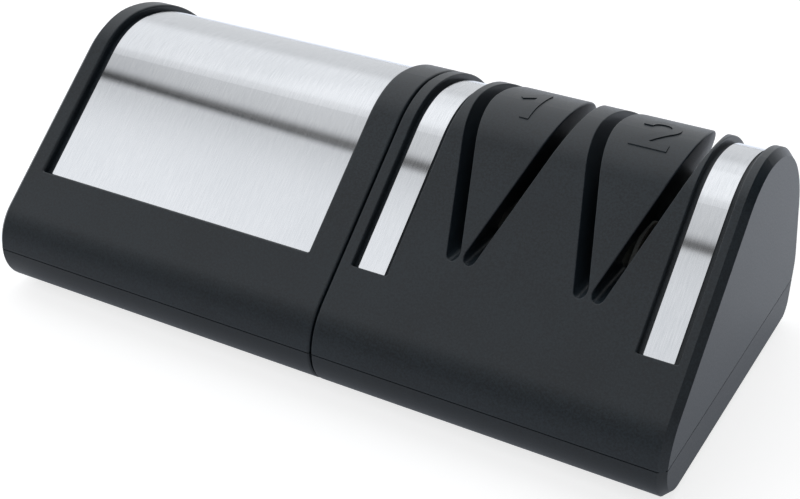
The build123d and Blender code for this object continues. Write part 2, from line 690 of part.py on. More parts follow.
def head_upper_shell():
    blank = unit_block(HEAD_END_X, RIGHT_X, False)
    skin = prism(HEAD_END_X, RIGHT_X)
    for recess in STRIP_RECESSES_X:
        blank = cut_rounded(blank, skin, recess_tool(*recess), STRIP_EDGE_R)
    for x in STAGES_X:
        for side in (-1, 1):
            blank = cut_rounded(blank, skin, slot_tool(x, side), SLOT_EDGE_R)
    blank = blank + raised(digit_one(STAGES_X[0])) + raised(digit_two(STAGES_X[1]))
    ribs = [seat_rib(*recess) for recess in STRIP_RECESSES_X]
    ribs += [slot_tool(x, side, SLOT_WALL) for x in STAGES_X for side in (-1, 1)]
    ribs += [rod(HEAD_END_X, HEAD_END_X + WALL + PIN_ROOT, SOCKET_R, y, PIN_Z) for y in PIN_Y]
    shell = upper_shell(blank, HEAD_END_X, RIGHT_X, ribs, HEAD_BOSSES)
    shell -= [slot_tool(x, side) for x in STAGES_X for side in (-1, 1)]
    shell -= wheel_windows()
    shell -= drive_opening(WALL_OPENING_R) & seam_slice(HEAD_END_X, HEAD_END_X + WALL)
    return shell - [
        rod(HEAD_END_X, HEAD_END_X + WALL + PIN_ROOT - FIT, PIN_R, y, PIN_Z) for y in PIN_Y
    ]


def head_base_tray():
    blank = unit_block(HEAD_END_X, RIGHT_X, False)
    posts = [wall_tab(HEAD_END_X + SEAM_EDGE_R, HEAD_END_X + WALL - FIT)]
    tray = base_tray(blank, HEAD_END_X, RIGHT_X, posts, HEAD_BOSSES, HEAD_FEET_X)
    for x, y in block_screw_places():
        tray += post(x, y, STAND + WALL / 2, FLOOR_Z + PAD_H, PAD_R)
    return tray - [
        post(x, y, STAND + SCREW_STOP, FLOOR_Z + PAD_H, SCREW_R + RUNNING)
        for x, y in block_screw_places()
    ]


def guide_pins():
    pins = [
        rod(HEAD_END_X - PIN_PROUD, HEAD_END_X + WALL + PIN_ROOT - FIT, PIN_R, y, PIN_Z)
        for y in PIN_Y
    ]
    return Compound([chamfer(pin.faces().sort_by(Axis.X)[0].edges(), PIN_CHAMFER) for pin in pins])


# ---------------------------------------------------------------- feet and screws
def feet(feet_x):
    """Rubber discs seated in the tray's underside."""
    discs = [post(x, y, 0, STAND + FOOT_SEAT, FOOT_R) for x in feet_x for y in FEET_Y]
    return Compound([chamfer(disc.faces().sort_by(Axis.Z)[0].edges(), FOOT_CHAMFER) for disc in discs])


def screw(seat, direction, length, radius=SCREW_R):
    """Pan-head cross-recess screw: its head stands off the seat, its shank goes along direction."""
    plane = Plane(origin=seat, z_dir=direction)
    head_r, head_h = HEAD_R_RATIO * radius, HEAD_H_RATIO * radius
    head = Pos(0, 0, -head_h / 2) * Cylinder(head_r, head_h)
    head = fillet(head.faces().sort_by(Axis.Z)[0].edges(), head_h / 3)
    shank = Pos(0, 0, length / 2) * Cylinder(radius, length)
    slot = Pos(0, 0, -head_h) * Box(RECESS_L_RATIO * radius, RECESS_W_RATIO * radius, head_h)
    return plane * (head + shank - slot - Rot(0, 0, 90) * slot)


def base_screws(rows):
    length = PART_Z + SCREW_BITE - COUNTERBORE_TOP
    return Compound(
        [screw((x, y, COUNTERBORE_TOP), (0, 0, 1), length) for x, y in boss_places(rows)]
    )


# ---------------------------------------------------------------- motor
def stack_hole(y, z, radius):
    return rod(STACK_X[0] - BOLT_R, STACK_X[1] + BOLT_R, radius, y, z)


def stator_core():
    low, high = SHAFT_Z - STACK_HALF_H, SHAFT_Z + STACK_HALF_H
    core = block(*STACK_X, *STACK_Y, low, high)
    core = chamfer(core.edges().filter_by(Axis.X), STACK_CHAMFER)
    core -= rod(*STACK_X, ROTOR_R + AIR_GAP)
    window_y = STACK_Y[1] - LEG_W - WINDOW_W
    core -= block(*STACK_X, window_y, window_y + WINDOW_W, low + YOKE_H, high - YOKE_H)
    for side in (-1, 1):
        core -= stack_hole(SHAFT_Y, SHAFT_Z + side * BRACKET_BOLT, BOLT_R + RUNNING)
        rivet_z = SHAFT_Z + side * (STACK_HALF_H - RIVET_INSET_Z)
        core -= stack_hole(STACK_Y[0] + RIVET_INSET_Y, rivet_z, BOLT_R)
    return core


def coil_ring(inner_gap, thickness, z0, z1):
    """A rectangular ring round the stator's coil leg."""
    x0, x1 = STACK_X
    y0, y1 = STACK_Y[1] - LEG_W, STACK_Y[1]
    inner = block(x0 - inner_gap, x1 + inner_gap, y0 - inner_gap, y1 + inner_gap, z0, z1)
    grow = inner_gap + thickness
    outer = block(x0 - grow, x1 + grow, y0 - grow, y1 + grow, z0, z1)
    return fillet(outer.edges().filter_by(Axis.Z), COIL_CORNER * thickness) - inner


def coil_bobbin():
    z0, z1 = SHAFT_Z - COIL_HALF_H, SHAFT_Z + COIL_HALF_H
    tube = coil_ring(RUNNING, BOBBIN_T, z0, z1)
    lower = coil_ring(RUNNING, COIL_T + BOBBIN_T, z0, z0 + BOBBIN_T)
    upper = coil_ring(RUNNING, COIL_T + BOBBIN_T, z1 - BOBBIN_T, z1)
    return tube + lower + upper


def coil_winding():
    half = COIL_HALF_H - BOBBIN_T
    return coil_ring(RUNNING + BOBBIN_T, COIL_T - RUNNING, SHAFT_Z - half, SHAFT_Z + half)


def end_bracket(face_x, side):
    """Bridge over the rotor's end, with the bush in its boss. side is -1 left, 1 right."""
    reach, skin = side * BRACKET_REACH, side * BRACKET_T

    def slab(dx0, dx1, low, high, turn=1):
        """A slab between two heights from the axis, upwards or, with turn -1, downwards."""
        x0, x1 = sorted((face_x + dx0, face_x + dx1))
        z0, z1 = sorted((SHAFT_Z + turn * low, SHAFT_Z + turn * high))
        return block(x0, x1, SHAFT_Y - BRACKET_W / 2, SHAFT_Y + BRACKET_W / 2, z0, z1)

    boss_x = sorted((face_x + reach - skin, face_x + reach - skin + side * BUSH_L))
    body = slab(reach - skin, reach, -BRACKET_INSIDE, BRACKET_INSIDE)
    body += rod(*boss_x, BUSH_R + BRACKET_T)
    for turn in (-1, 1):
        body += slab(0, skin, BRACKET_INSIDE, STACK_HALF_H - RUNNING, turn)
        body += slab(0, reach, BRACKET_INSIDE, BRACKET_INSIDE + BRACKET_T, turn)
        body -= stack_hole_through(face_x, SHAFT_Z + turn * BRACKET_BOLT)
    return body - rod(*boss_x, BUSH_R)


def stack_hole_through(x, z):
    return rod(x - 2 * BRACKET_T, x + 2 * BRACKET_T, BOLT_R + RUNNING, SHAFT_Y, z)


def bush(x_middle, bore_r):
    """Sintered bearing bush."""
    half = BUSH_L / 2
    sleeve = rod(x_middle - half, x_middle + half, BUSH_R)
    sleeve = chamfer(sleeve.edges(), SHAFT_CHAMFER)
    return sleeve - rod(x_middle - half, x_middle + half, bore_r)


def motor_bushes():
    return Compound([bush(x, MOTOR_SHAFT_R + RUNNING) for x in MOTOR_BUSHES_X])


def bracket_bolts():
    length = STACK_L + 2 * BRACKET_T + NUT_H + BOLT_END
    bolts = []
    for side in (-1, 1):
        z = SHAFT_Z + side * BRACKET_BOLT
        bolts.append(screw((STACK_X[0] - BRACKET_T, SHAFT_Y, z), (1, 0, 0), length, BOLT_R))
        nut_x = STACK_X[1] + BRACKET_T
        nut = Pos(nut_x, SHAFT_Y, z) * Rot(0, 90, 0) * extrude(RegularPolygon(NUT_R, 6), NUT_H)
        bolts.append(nut - rod(nut_x, nut_x + NUT_H, BOLT_R, SHAFT_Y, z))
    return Compound(bolts)


def rotor_core():
    core = rod(*STACK_X, ROTOR_R)
    for x0, x1 in (
        (STACK_X[0] - END_RING_L, STACK_X[0]),
        (STACK_X[1], STACK_X[1] + END_RING_L),
    ):
        core += rod(x0, x1, ROTOR_R - END_RING_STEP)
    return core - rod(STACK_X[0] - END_RING_L, STACK_X[1] + END_RING_L, MOTOR_SHAFT_R)


def rotor_shaft():
    shaft = rod(FAN_X[0], DRIVER_X1 - COUPLING_GAP, MOTOR_SHAFT_R)
    return chamfer(shaft.edges(), SHAFT_CHAMFER)


def dogs(x0, x1, first_angle):
    """Driving dogs: sectors of a ring round the axis."""
    ring = rod(x0, x1, COUPLING_R) - rod(x0, x1, COUPLING_CORE_R)
    far = 3 * COUPLING_R
    half = radians(DOG_SPAN / 2)
    wedge = Polygon(
        (0, 0), (far * cos(half), -far * sin(half)), (far * cos(half), far * sin(half)), align=None
    )
    sector = extrude(wedge, amount=x1 - x0)
    found = []
    for n in range(DOG_COUNT):
        turn = first_angle + n * 360 / DOG_COUNT
        place = Pos(x0, SHAFT_Y, SHAFT_Z) * Rot(turn, 0, 0) * Rot(0, 90, 0)
        found.append(ring & (place * sector))
    return found


def motor_coupling():
    hub = rod(DRIVER_X0, DRIVER_X1, COUPLING_R)
    hub = chamfer(hub.faces().sort_by(Axis.X)[0].edges(), COUPLING_CHAMFER)
    half = hub + dogs(DRIVER_X1, DRIVER_X1 + DOG_L, 0)
    return half - rod(DRIVER_X0, DRIVER_X1 - COUPLING_GAP, MOTOR_SHAFT_R)


def spindle_coupling():
    half = rod(DRIVEN_X0, DRIVEN_X1, COUPLING_R)
    half = chamfer(half.faces().sort_by(Axis.X)[-1].edges(), COUPLING_CHAMFER)
    half = half + dogs(DRIVEN_X0 - DOG_L, DRIVEN_X0, 180 / DOG_COUNT)
    return half - rod(DRIVEN_X0 + COUPLING_GAP, DRIVEN_X1, SPINDLE_R)


def cooling_fan():
    x0, x1 = FAN_X
    fan = rod(x0, x1, FAN_HUB_R) + rod(x1 - FAN_BLADE_T, x1, FAN_R)
    half = FAN_BLADE_T / 2
    blade = block(x0, x1, SHAFT_Y - half, SHAFT_Y + half, SHAFT_Z, SHAFT_Z + FAN_R - FAN_TIP)
    axis = Axis((0, SHAFT_Y, SHAFT_Z), (1, 0, 0))
    for n in range(FAN_BLADES):
        fan += blade.rotate(axis, n * 360 / FAN_BLADES)
    return fan - rod(x0, x1, MOTOR_SHAFT_R)


def motor_cradle():
    z0, z1 = CRADLE_Z, CRADLE_Z + CRADLE_T
    sheet = block(*CRADLE_X, *CRADLE_Y, z0, z1)
    sheet = fillet(sheet.edges().filter_by(Axis.Z), CRADLE_CORNER_R)
    return sheet - [post(x, y, z0, z1, SCREW_HOLE_R) for x, y in motor_mount_places()]


def rubber_mounts():
    mounts = []
    for x, y in motor_mount_places():
        mount = fillet(post(x, y, MOUNT_Z, CRADLE_Z, MOUNT_R).edges(), MOUNT_EDGE_R)
        mounts.append(mount - post(x, y, MOUNT_Z, CRADLE_Z, SCREW_HOLE_R))
    return Compound(mounts)


def motor_mount_screws():
    top = CRADLE_Z + CRADLE_T
    length = top - FLOOR_Z - SCREW_STOP
    return Compound([screw((x, y, top), (0, 0, -1), length) for x, y in motor_mount_places()])


# ---------------------------------------------------------------- spindle and wheels
def spindle_shaft():
    shaft = rod(DRIVEN_X0 + COUPLING_GAP, BLOCKS_X[1] + BUSH_L / 2 + SPINDLE_END, SPINDLE_R)
    shaft = chamfer(shaft.edges(), SHAFT_CHAMFER)
    for x in clip_places():
        shaft -= rod(x, x + CLIP_T, CLIP_R) - rod(x, x + CLIP_T, CLIP_GROOVE_R)
    return shaft - drive_pin_rods(DRIVE_PIN_R)


def drive_pin_rods(radius):
    """Cross pins through the spindle, one behind each wheel's hub."""
    return [
        Pos(x + side * DRIVE_PIN_X, SHAFT_Y, SHAFT_Z) * Cylinder(radius, DRIVE_PIN_L)
        for x in STAGES_X
        for side in (-1, 1)
    ]


def drive_pins():
    return Compound(drive_pin_rods(DRIVE_PIN_R))


def clip_places():
    """Left faces of the retaining rings, one outside each bearing bush."""
    gap = 2 * FIT
    return (
        BLOCKS_X[0] + BUSH_L / 2 + gap,
        BLOCKS_X[1] - BUSH_L / 2 - gap - CLIP_T,
        BLOCKS_X[1] + BUSH_L / 2 + gap,
    )


def retaining_rings():
    rings = []
    for x in clip_places():
        ring = rod(x, x + CLIP_T, CLIP_R) - rod(x, x + CLIP_T, CLIP_GROOVE_R)
        y0, y1 = SHAFT_Y - CLIP_MOUTH / 2, SHAFT_Y + CLIP_MOUTH / 2
        mouth = block(x, x + CLIP_T, y0, y1, SHAFT_Z, SHAFT_Z + CLIP_R)
        rings.append(ring - mouth)
    return Compound(rings)


def wheel_reach(x_stage, side, inner, outer, radius):
    """A disc on the spindle between two distances from its stage's centre."""
    x0, x1 = sorted((x_stage + side * inner, x_stage + side * outer))
    return rod(x0, x1, radius)


def wheel_disc(x_stage, side):
    """Backing disc with its cup-shaped hub, which slides on the spindle against the spring."""
    face, back = WHEEL_INNER, WHEEL_INNER + WHEEL_T
    end = back + HUB_L
    disc = wheel_reach(x_stage, side, face, back, WHEEL_R)
    disc += wheel_reach(x_stage, side, face, end, HUB_R)
    disc -= wheel_reach(x_stage, side, face, end - HUB_END_T, CUP_R)
    disc -= wheel_reach(x_stage, side, face, end, SPINDLE_R + RUNNING)
    groove_x = x_stage + side * DRIVE_PIN_X
    return disc - drive_groove(groove_x, side)


def drive_groove(x, side):
    """Groove across the hub's end that the cross pin drives and stops the wheel by."""
    half = DRIVE_PIN_R + FIT
    x0, x1 = sorted((x - side * half, x + side * 2 * half))
    return block(x0, x1, SHAFT_Y - half, SHAFT_Y + half, SHAFT_Z - HUB_R, SHAFT_Z + HUB_R)


def abrasive_ring(x_stage, side):
    """Diamond-coated ring bonded to the wheel's outer face."""
    face = WHEEL_INNER + WHEEL_T
    ring = wheel_reach(x_stage, side, face, face + ABRASIVE_T, WHEEL_R)
    return ring - wheel_reach(x_stage, side, face, face + ABRASIVE_T, WHEEL_R - ABRASIVE_W)


def wheel_spring(x_stage):
    """Coil spring in the two hubs' cups, which holds the wheels apart."""
    reach = WHEEL_INNER + WHEEL_T + HUB_L - HUB_END_T - FIT - SPRING_WIRE_R
    length = 2 * reach
    helix = Helix(
        pitch=length / SPRING_TURNS,
        height=length,
        radius=SPRING_R,
        center=(x_stage - reach, SHAFT_Y, SHAFT_Z),
        direction=(1, 0, 0),
    )
    wire = Plane(origin=helix @ 0, z_dir=helix % 0) * Circle(SPRING_WIRE_R)
    return sweep(wire, path=helix, is_frenet=True)


def block_screw_places():
    return [(x, SHAFT_Y + side * BLOCK_SCREW_Y) for x in BLOCKS_X for side in (-1, 1)]


def bearing_block(n):
    """Upright that carries one spindle bush, screwed down to the head's tray."""
    x0, x1 = BLOCKS_X[n] - BLOCK_T / 2, BLOCKS_X[n] + BLOCK_T / 2
    foot = block(
        x0,
        x1,
        SHAFT_Y - BLOCK_FOOT_W / 2,
        SHAFT_Y + BLOCK_FOOT_W / 2,
        FLOOR_Z + PAD_H,
        FLOOR_Z + PAD_H + BLOCK_FOOT_H,
    )
    web = block(x0, x1, SHAFT_Y - BLOCK_W / 2, SHAFT_Y + BLOCK_W / 2, FLOOR_Z + PAD_H, SHAFT_Z)
    body = foot + web + rod(x0, x1, BLOCK_W / 2)
    body -= rod(x0, x1, BUSH_R)
    return body - [
        post(x, y, FLOOR_Z, SHAFT_Z, SCREW_HOLE_R)
        for x, y in block_screw_places()
        if x0 < x < x1
    ]


def block_screws():
    seat = FLOOR_Z + PAD_H + BLOCK_FOOT_H
    length = seat - STAND - SCREW_STOP - FIT
    return Compound([screw((x, y, seat), (0, 0, -1), length) for x, y in block_screw_places()])


def spindle_bushes():
    return Compound([bush(x, SPINDLE_R + RUNNING) for x in BLOCKS_X])


# ---------------------------------------------------------------- switch, gland and wiring
def switch_housing():
    """Rocker switch body and bezel, clipped into the back face."""
    outer = Pos(0, 0, BEZEL_T / 2) * Box(BEZEL_L, BEZEL_W, BEZEL_T)
    outer = fillet(outer.edges().filter_by(Axis.Z), BEZEL_CORNER_R)
    outer = chamfer(outer.faces().sort_by(Axis.Z)[-1].edges(), BEZEL_CHAMFER)
    body = Pos(0, 0, -SWITCH_DEPTH / 2) * Box(SWITCH_L, SWITCH_W, SWITCH_DEPTH)
    well = Pos(0, 0, BEZEL_T - WELL_DEPTH / 2) * Box(WELL_L, WELL_W, WELL_DEPTH)
    well += Pos(0, 0, ROCKER_PIVOT) * rocker_stubs(ROCKER_PIN_R + RUNNING, FIT)
    tag_z = TAG_ROOT - SWITCH_DEPTH - TAG_L / 2
    tags = [Pos(x, 0, tag_z) * Box(TAG_T, TAG_W, TAG_L) for x in (-SWITCH_L / 3, SWITCH_L / 3)]
    return switch_plane() * (outer + body - well + tags)


def rocker_stubs(radius, slack):
    """Pivot stubs of the rocker, along the switch plane's local Y."""
    return Rot(90, 0, 0) * Cylinder(radius, WELL_W + ROCKER_STUBS + slack)


def rocker():
    """Rocker, tilted to its off position, with its pivot stubs."""
    half = ROCKER_L / 2
    top = [(-half, ROCKER_END_H), (0, ROCKER_DIP_H), (half, ROCKER_END_H)]
    bottom = [(half, ROCKER_SIDE_H), (0, ROCKER_KEEL_H), (-half, ROCKER_SIDE_H)]
    profile = Polygon(*top, *bottom, align=None)
    body = extrude(Plane.XZ * profile, amount=ROCKER_W / 2, both=True)
    body = Pos(0, 0, -ROCKER_PIVOT) * body + rocker_stubs(ROCKER_PIN_R, 0)
    tilted = Rot(0, ROCKER_TILT, 0) * body
    return switch_plane() * Pos(0, 0, ROCKER_PIVOT) * tilted


def cord_gland():
    """Square rubber grommet for the mains lead, pushed into the tray's back wall."""
    inside = BACK_Y - WALL - GLAND_SLACK - GLAND_INSIDE
    outer = gland_block(BACK_Y - WALL, BACK_Y + GLAND_PROUD, GLAND_FLANGE)
    outer = fillet(outer.edges().filter_by(Axis.Y), GLAND_CORNER_R)
    outer = fillet(outer.faces().sort_by(Axis.Y)[-1].edges(), GLAND_EDGE_R)
    outer -= prism(LEFT_X, MOTOR_END_X)
    inner = gland_block(inside, BACK_Y, GLAND_FLANGE)
    inner &= cavity(LEFT_X, MOTOR_END_X, WALL + GLAND_SLACK)
    return outer + inner + gland_block(inside, BACK_Y, GLAND_HALF) - cord_channel()


def cord_clamp():
    """Bridge that holds the mains lead down on the tray."""
    bridge = block(
        GLAND_X - CLAMP_W / 2,
        GLAND_X + CLAMP_W / 2,
        CLAMP_Y - CLAMP_D / 2,
        CLAMP_Y + CLAMP_D / 2,
        CORD_Z - CLAMP_LIP,
        CORD_Z + CORD_BORE_R + CLAMP_T,
    )
    shoulders = [
        block(
            *sorted((GLAND_X + side * CLAMP_W / 2, GLAND_X + side * CORD_BORE_R)),
            CLAMP_Y - CLAMP_D / 2,
            CLAMP_Y + CLAMP_D / 2,
            CORD_Z + CLAMP_SEAT,
            CORD_Z + 2 * CLAMP_T + CORD_BORE_R,
        )
        for side in (-1, 1)
    ]
    holes = [
        post(GLAND_X + side * CLAMP_SCREW, CLAMP_Y, 0, FAR, CLAMP_SCREW_R + FIT)
        for side in (-1, 1)
    ]
    return bridge - shoulders - holes - cord_channel()


def clamp_screws():
    seat = CORD_Z + CLAMP_SEAT
    length = seat - FLOOR_Z - SCREW_STOP - FIT
    return Compound(
        [
            screw((GLAND_X + side * CLAMP_SCREW, CLAMP_Y, seat), (0, 0, -1), length, CLAMP_SCREW_R)
            for side in (-1, 1)
        ]
    )


NODES = {
    "motor_upper_shell": motor_upper_shell,
    "motor_base_tray": motor_base_tray,
    "steel_cover_plate": lambda: plate(*COVER_X),
    "motor_feet": lambda: feet(MOTOR_FEET_X),
    "motor_base_screws": lambda: base_screws(MOTOR_BOSSES),
    "stator_core": stator_core,
    "coil_bobbin": coil_bobbin,
    "coil_winding": coil_winding,
    "left_end_bracket": lambda: end_bracket(STACK_X[0], -1),
    "right_end_bracket": lambda: end_bracket(STACK_X[1], 1),
    "motor_bushes": motor_bushes,
    "bracket_bolts": bracket_bolts,
    "motor_cradle": motor_cradle,
    "rubber_motor_mounts": rubber_mounts,
    "motor_mount_screws": motor_mount_screws,
    "rotor_core": rotor_core,
    "rotor_shaft": rotor_shaft,
    "cooling_fan": cooling_fan,
    "motor_coupling": motor_coupling,
    "switch_housing": switch_housing,
    "power_rocker": rocker,
    "cord_gland": cord_gland,
    "cord_clamp": cord_clamp,
    "cord_clamp_screws": clamp_screws,
    "head_upper_shell": head_upper_shell,
    "head_base_tray": head_base_tray,
    "left_steel_strip": lambda: plate(*STRIPS_X[0]),
    "right_steel_strip": lambda: plate(*STRIPS_X[1]),
    "head_feet": lambda: feet(HEAD_FEET_X),
    "head_base_screws": lambda: base_screws(HEAD_BOSSES),
    "guide_pins": guide_pins,
    "left_bearing_block": lambda: bearing_block(0),
    "right_bearing_block": lambda: bearing_block(1),
    "bearing_block_screws": block_screws,
    "spindle_bushes": spindle_bushes,
    "spindle_shaft": spindle_shaft,
    "spindle_coupling": spindle_coupling,
    "drive_pins": drive_pins,
    "retaining_rings": retaining_rings,
}
for number, x_stage in enumerate(STAGES_X, 1):
    NODES[f"stage_{number}_spring"] = lambda x=x_stage: wheel_spring(x)
    for side_name, side in (("left", -1), ("right", 1)):
        NODES[f"stage_{number}_{side_name}_wheel"] = lambda x=x_stage, s=side: wheel_disc(x, s)
        NODES[f"stage_{number}_{side_name}_abrasive"] = lambda x=x_stage, s=side: abrasive_ring(x, s)

os.makedirs("parts", exist_ok=True)
for name, make in NODES.items():
    export_step(make(), f"parts/{name}.step")
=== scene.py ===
import json
import math

import bmesh
import bpy
from mathutils import Matrix, Vector


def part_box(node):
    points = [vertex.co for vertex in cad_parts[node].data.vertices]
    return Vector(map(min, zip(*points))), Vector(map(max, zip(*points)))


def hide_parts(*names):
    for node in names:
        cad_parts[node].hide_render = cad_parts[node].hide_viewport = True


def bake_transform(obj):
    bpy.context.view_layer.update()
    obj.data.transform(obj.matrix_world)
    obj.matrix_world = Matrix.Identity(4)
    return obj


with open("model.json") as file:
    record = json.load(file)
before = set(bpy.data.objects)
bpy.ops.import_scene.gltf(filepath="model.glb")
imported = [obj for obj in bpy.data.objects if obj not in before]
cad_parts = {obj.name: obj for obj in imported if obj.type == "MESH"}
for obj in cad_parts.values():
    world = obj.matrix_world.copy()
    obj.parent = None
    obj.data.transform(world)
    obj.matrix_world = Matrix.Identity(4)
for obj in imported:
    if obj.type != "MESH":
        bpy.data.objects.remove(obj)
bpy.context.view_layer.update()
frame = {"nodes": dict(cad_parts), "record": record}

scene = bpy.context.scene
scene.view_settings.view_transform = "Standard"
NODES = frame["nodes"]
MM = 0.001
WHITE = (1, 1, 1, 1)


# ---------------------------------------------------------------- camera, floor and light
SENSOR_WIDTH = 36  # millimetres, as the lens
LENS = 64.627
SHIFT_Y = -0.0994
CLIP_START = 0.01
CLIP_END = 20
CAMERA_PLACE = Vector((202.222, -388.231, 252.564)) * MM
CAMERA_RIGHT = Vector((0.87516723, 0.48185454, 0.04357205)).normalized()
CAMERA_FORWARD = Vector((-0.42221922, 0.80461035, -0.41753217)).normalized()

# The studio's brightness, as (place, brightness). The sweep runs over the angle in the Y-Z
# plane, from the front horizon (0) over the top (0.5) to the back horizon (1). The sides weaken
# it, and run over the direction's X, from -X (0) to +X (1).
SWEEP_STOPS = (
    (0.00, 0.28),
    (0.18, 0.52),
    (0.29, 1.20),
    (0.345, 1.18),
    (0.380, 0.04),
    (0.397, 0.04),
    (0.45, 0.78),
    (0.52, 1.08),
    (0.74, 1.10),
    (0.84, 0.85),
    (1.00, 0.85),
)
FRONT_SIDE_STOPS = ((0.20, 1.0), (0.29, 0.95), (0.40, 0.8), (0.80, 0.62), (0.96, 0.5))
BACK_SIDE_STOPS = ((0.20, 1.0), (0.40, 1.0), (0.60, 0.9), (0.70, 0.04), (0.94, 0.04), (0.99, 0.5))
FRONT_TO_BACK_STOPS = ((0.33, 0), (0.39, 1))  # along the sweep, the back side's share
STUDIO_TINT = (0.97, 0.99, 1.015, 1.0)

LAMP_PLACE = Vector((-0.3, 0.1, 1.3))
LAMP_AIM = Vector((0, 0, 0.03))
LAMP_SIZE = (1.4, 0.9)
LAMP_POWER = 0.6

FLOOR_RADIUS = 6.0
FLOOR_SIDES = 96
FLOOR_COLOUR = (0.5, 0.5, 0.5, 1)
FLOOR_ROUGHNESS = 0.9
FLOOR_SEEN = 0.76  # how much the floor glows for the camera
FLOOR_MIRRORED = {"From Min": -0.2, "From Max": 0.4, "To Min": 0.20, "To Max": 0.72}  # over Y
FLOOR_MIRRORED_TINT = (0.88, 0.95, 1.08, 1)


def linear(code):
    """Linear colour from a hex code such as 3b3f42."""
    parts = [int(code[i : i + 2], 16) / 255 for i in (0, 2, 4)]
    return tuple(p / 12.92 if p <= 0.04045 else ((p + 0.055) / 1.055) ** 2.4 for p in parts)


def make_camera():
    """Camera at the photograph's viewing angle."""
    data = bpy.data.cameras.new("camera")
    data.sensor_width = SENSOR_WIDTH
    data.lens = LENS
    data.shift_y = SHIFT_Y
    data.clip_start = CLIP_START
    data.clip_end = CLIP_END
    camera = bpy.data.objects.new("camera", data)
    up = CAMERA_RIGHT.cross(CAMERA_FORWARD)
    turn = Matrix((CAMERA_RIGHT, up, -CAMERA_FORWARD)).transposed().to_4x4()
    camera.matrix_world = Matrix.Translation(CAMERA_PLACE) @ turn
    scene.collection.objects.link(camera)
    scene.camera = camera


def tree_of(owner):
    """An owner's emptied node tree."""
    owner.use_nodes = True
    owner.node_tree.nodes.clear()
    return owner.node_tree


def node(tree, kind, inputs=(), **settings):
    """A node with its settings, and its inputs given by name as a value or as an output to link."""
    made = tree.nodes.new(kind)
    for key, value in settings.items():
        setattr(made, key, value)
    for key, value in dict(inputs).items():
        if isinstance(value, bpy.types.NodeSocket):
            tree.links.new(value, made.inputs[key])
        else:
            made.inputs[key].default_value = value
    return made


def math_node(tree, operation, *values):
    """Result of a Math node."""
    return node(tree, "ShaderNodeMath", enumerate(values), operation=operation).outputs[0]


def mixed(tree, blend, factor, first, second):
    """Two colours mixed, or blended as named."""
    inputs = {"Fac": factor, "Color1": first, "Color2": second}
    return node(tree, "ShaderNodeMixRGB", inputs, blend_type=blend).outputs[0]


def axes_of(tree, vector):
    """A vector's X, Y and Z."""
    return node(tree, "ShaderNodeSeparateXYZ", {"Vector": vector}).outputs


def ramp(tree, factor, stops, interpolation="LINEAR"):
    """Colour of a Color Ramp whose stops are (position, linear colour)."""
    made = node(tree, "ShaderNodeValToRGB", {"Fac": factor})
    made.color_ramp.interpolation = interpolation
    elements = made.color_ramp.elements
    while len(elements) < len(stops):
        elements.new(1.0)
    for element, (position, colour) in zip(elements, stops):
        element.position = position
        element.color = (*colour, 1.0)
    return made.outputs["Color"]


def grey_ramp(tree, factor, stops):
    """Grey that eases between stops given as (position, brightness)."""
    return ramp(tree, factor, [(at, (value,) * 3) for at, value in stops], "EASE")


def make_world():
    """White backdrop for the camera. For light and reflections a studio: a bright panel in front,
    a narrow dark gap above it, soft white overhead and behind, and behind also a dark side
    towards +X."""
    world = bpy.data.worlds.new("studio")
    scene.world = world
    tree = tree_of(world)
    axes = axes_of(tree, node(tree, "ShaderNodeTexCoord").outputs["Generated"])
    forward = math_node(tree, "MULTIPLY", axes["Y"], -1.0)
    angle = math_node(tree, "ARCTAN2", axes["Z"], forward)
    share = math_node(tree, "DIVIDE", angle, math.pi)
    across = math_node(tree, "MULTIPLY_ADD", axes["X"], 0.5, 0.5)
    sides = mixed(
        tree,
        "MIX",
        grey_ramp(tree, share, FRONT_TO_BACK_STOPS),
        grey_ramp(tree, across, FRONT_SIDE_STOPS),
        grey_ramp(tree, across, BACK_SIDE_STOPS),
    )
    sweep = mixed(tree, "MULTIPLY", 1.0, grey_ramp(tree, share, SWEEP_STOPS), sides)
    studio = mixed(tree, "MULTIPLY", 1.0, sweep, STUDIO_TINT)
    lit = node(tree, "ShaderNodeBackground", {"Color": studio})
    white = node(tree, "ShaderNodeBackground", {"Color": WHITE})
    seen = node(tree, "ShaderNodeLightPath").outputs["Is Camera Ray"]
    mix = node(tree, "ShaderNodeMixShader", {0: seen, 1: lit.outputs[0], 2: white.outputs[0]})
    node(tree, "ShaderNodeOutputWorld", {"Surface": mix.outputs[0]})


def make_lamp():
    """A soft rectangular lamp overhead."""
    data = bpy.data.lights.new("top_panel", "AREA")
    data.shape = "RECTANGLE"
    data.size, data.size_y = LAMP_SIZE
    data.energy = LAMP_POWER
    lamp = bpy.data.objects.new("top_panel", data)
    lamp.location = LAMP_PLACE
    lamp.rotation_euler = (LAMP_AIM - LAMP_PLACE).to_track_quat("-Z", "Y").to_euler()
    scene.collection.objects.link(lamp)


def link_mesh(name, bm):
    """A new object in the scene that takes over a bmesh."""
    mesh = bpy.data.meshes.new(name)
    bm.to_mesh(mesh)
    bm.free()
    piece = bpy.data.objects.new(name, mesh)
    scene.collection.objects.link(piece)
    return piece


